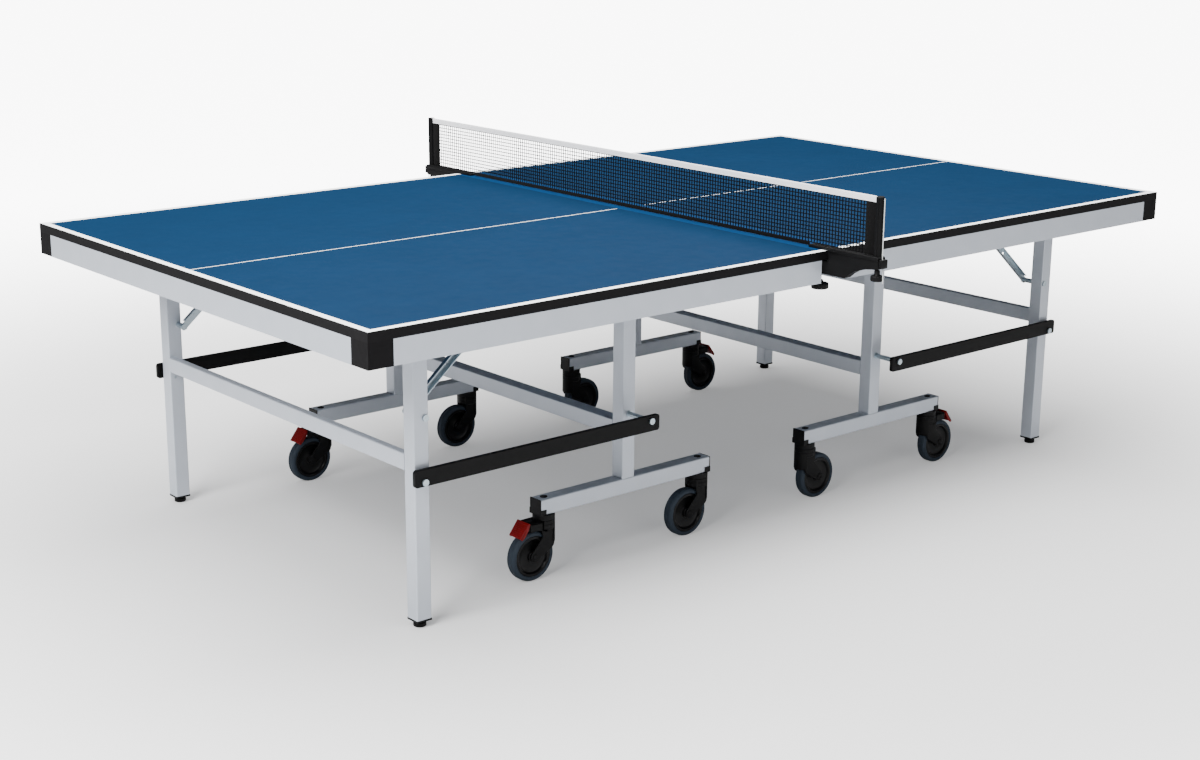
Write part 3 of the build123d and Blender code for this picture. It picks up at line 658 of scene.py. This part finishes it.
# name, grip radius, grip's lower and upper height, neck radius and its top, in millimetres
KNOBS = [("clamp_screw", 22, 661, 676, 8, 684), ("post_knob", 16, 708, 722, 7, 735)]
THREAD_TURNS, THREAD_LENGTH, THREAD_FOOT, PAD_FOOT = 36, 50, 684, 733.6
for side in SIDES:
    for node, radius, low, high, neck, neck_top in KNOBS:
        name = f"{node}_{side}"
        axis = Vector(joints[f"{name}_turn"]["pos_m"])
        bm = bmesh.new()
        knob(bm, axis, radius * MM, low * MM, high * MM, 12)
        round_edges(bm, 3.2, 3, 60)
        for f in bm.faces:
            f.tag = True
        rise = neck_top - high
        turned(bm, in_mm([(0, 0), (neck + 2, 0), (neck, 3), (neck, rise), (0, rise)]),
               Vector((axis.x, axis.y, (high - 1) * MM)), "Z", 32)
        grip = finish(bm, f"{name}_grip", nylon, name, "black_plastic", (name,))
    bm = bmesh.new()
    name = f"clamp_screw_{side}"
    axis = Vector(joints[f"{name}_turn"]["pos_m"])
    thread = [(0, 0)]
    for i in range(THREAD_TURNS):
        z = i * THREAD_LENGTH / THREAD_TURNS
        thread += [(3.4, z), (4.0, z + 0.7)]
    thread += [(0, THREAD_LENGTH)]
    turned(bm, in_mm(thread), Vector((axis.x, axis.y, THREAD_FOOT * MM)), "Z", 20)
    pad = in_mm([(0, 0), (9, 0), (9, 3), (7.5, 4), (0, 4)])
    turned(bm, pad, Vector((axis.x, axis.y, PAD_FOOT * MM)), "Z", 32)
    finish(bm, f"{name}_thread", zinc, name, "zinc_steel")
print("knobs of", len(grip.data.polygons), "faces")

# %% [markdown]
# ## Tension cords
# A thin braided cord pulls the net tight. It runs from the post's top down its outer side, through a black
# cleat, and its tail hangs free. Its line is a smooth spline, as a taut cord with a hanging end has.

# %% Tension cords
CORD_ROUTE = [(927.2, 909), (927.2, 850), (927.2, 790), (927.6, 762), (931.0, 742), (931.5, 722),
              (931.5, 704)]
for side, y in SIDES.items():
    curve = bpy.data.curves.new(f"tension_cord_{side}", "CURVE")
    curve.dimensions = "3D"
    curve.bevel_depth = 1.2 * MM
    curve.bevel_resolution = 3
    curve.use_fill_caps = True
    route = curve.splines.new("NURBS")
    route.points.add(len(CORD_ROUTE) - 1)
    for point, (across_net, height) in zip(route.points, CORD_ROUTE):
        point.co = (net_x, y * across_net * MM, height * MM, 1)
    route.order_u = 3
    route.use_endpoint_u = True
    curve.materials.append(white_cord)
    cord = bpy.data.objects.new(f"tension_cord_{side}", curve)
    bpy.context.scene.collection.objects.link(cord)
    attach(cord, "left_tabletop")
    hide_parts("net_cord")
    bm = bmesh.new()
    low, high = sorted((y * 925.3, y * 935.8))
    box(bm, (net_x - 11 * MM, low * MM, 741.2 * MM), (net_x + 11 * MM, high * MM, 762.8 * MM))
    round_edges(bm, 1.8, 3)
    cleat = finish(bm, f"cord_cleat_{side}", nylon, "left_tabletop", "black_plastic")
print("two cords on", len(CORD_ROUTE), "points each")

# %% [markdown]
# ## The studio
# A pale floor, a very large soft light overhead, a second one from the left and a weak one from the front
# give the even light of a product picture. Away from the table the floor glows, more and more with
# distance, so that it melts into a bright background from every side. Only camera rays see that glow, so it
# lights nothing.

# %% Floor, lights and camera
SWEEP_START, SWEEP_END = 1.4, 5.5
SWEEP_LOW, SWEEP_GLOW = 0.3, 9.0
WORLD_FILL = 0.12
floor_material, tree, shader = material("pale_studio_floor", "#cccccc", 0.8, {"Specular IOR Level": 0.2})
place = add(tree, "ShaderNodeTexCoord").outputs["Object"]
away = add(tree, "ShaderNodeVectorMath", {"operation": "LENGTH"}, {0: place})
rise = add(tree, "ShaderNodeMapRange", {"interpolation_type": "SMOOTHSTEP"},
           {"Value": away.outputs["Value"], "From Min": SWEEP_START, "From Max": SWEEP_END,
            "To Min": SWEEP_LOW, "To Max": SWEEP_GLOW})
seen = add(tree, "ShaderNodeLightPath").outputs["Is Camera Ray"]
glow = add(tree, "ShaderNodeMath", {"operation": "MULTIPLY"}, {0: rise.outputs["Result"], 1: seen})
shader.inputs["Emission Color"].default_value = colour("#ffffff")
plug(tree, shader, {"Emission Strength": glow.outputs[0]})
bpy.ops.mesh.primitive_plane_add(size=60, location=(0, 0, 0))
floor = bpy.context.object
floor.name = "studio_floor"
floor.data.materials.append(floor_material)

world = bpy.data.worlds.new("studio")
bpy.context.scene.world = world
world.use_nodes = True
background = world.node_tree.nodes["Background"]
background.inputs["Color"].default_value = colour("#f8f8f8")
straight = add(world.node_tree, "ShaderNodeLightPath").outputs["Is Camera Ray"]
strength = add(world.node_tree, "ShaderNodeMapRange", {},
               {"Value": straight, "To Min": WORLD_FILL, "To Max": SWEEP_GLOW})
plug(world.node_tree, background, {"Strength": strength.outputs["Result"]})


def soft_light(name, place, aim, size, watts):
    lamp = bpy.data.lights.new(name, "AREA")
    lamp.shape = "RECTANGLE"
    lamp.size, lamp.size_y = size
    lamp.energy = watts
    holder = bpy.data.objects.new(name, lamp)
    bpy.context.scene.collection.objects.link(holder)
    holder.location = place
    holder.rotation_euler = (Vector(aim) - Vector(place)).to_track_quat("-Z", "Y").to_euler()


soft_light("overhead", (0, 0.2, 4.6), (0, 0, 0.5), (6.5, 5.0), 830)
soft_light("left", (-4.8, -1.4, 4.2), (-0.4, 0, 0.5), (3.0, 3.0), 620)
soft_light("front", (0.4, -6.5, 1.9), (0, 0, 0.4), (5.0, 2.4), 80)

LENS = 56.27
YAW, PITCH, ROLL = 0.7074, 0.2662, 0.0074
camera_data = bpy.data.cameras.new("studio_camera")
camera_data.sensor_width = 36.0
camera_data.lens = LENS
camera_data.clip_end = 200
camera = bpy.data.objects.new("studio_camera", camera_data)
bpy.context.scene.collection.objects.link(camera)
forward = Vector((math.sin(YAW) * math.cos(PITCH), math.cos(YAW) * math.cos(PITCH), -math.sin(PITCH)))
right = Vector((math.cos(YAW), -math.sin(YAW), 0))
up = right.cross(forward)
rolled_right = math.cos(ROLL) * right + math.sin(ROLL) * up
rolled_up = -math.sin(ROLL) * right + math.cos(ROLL) * up
facing = Matrix((rolled_right, rolled_up, -forward)).transposed().to_4x4()
camera.matrix_world = Matrix.Translation((-3.3784, -3.8266, 1.6568)) @ facing
bpy.context.scene.camera = camera
print("lens", round(camera_data.lens, 2), "mm")
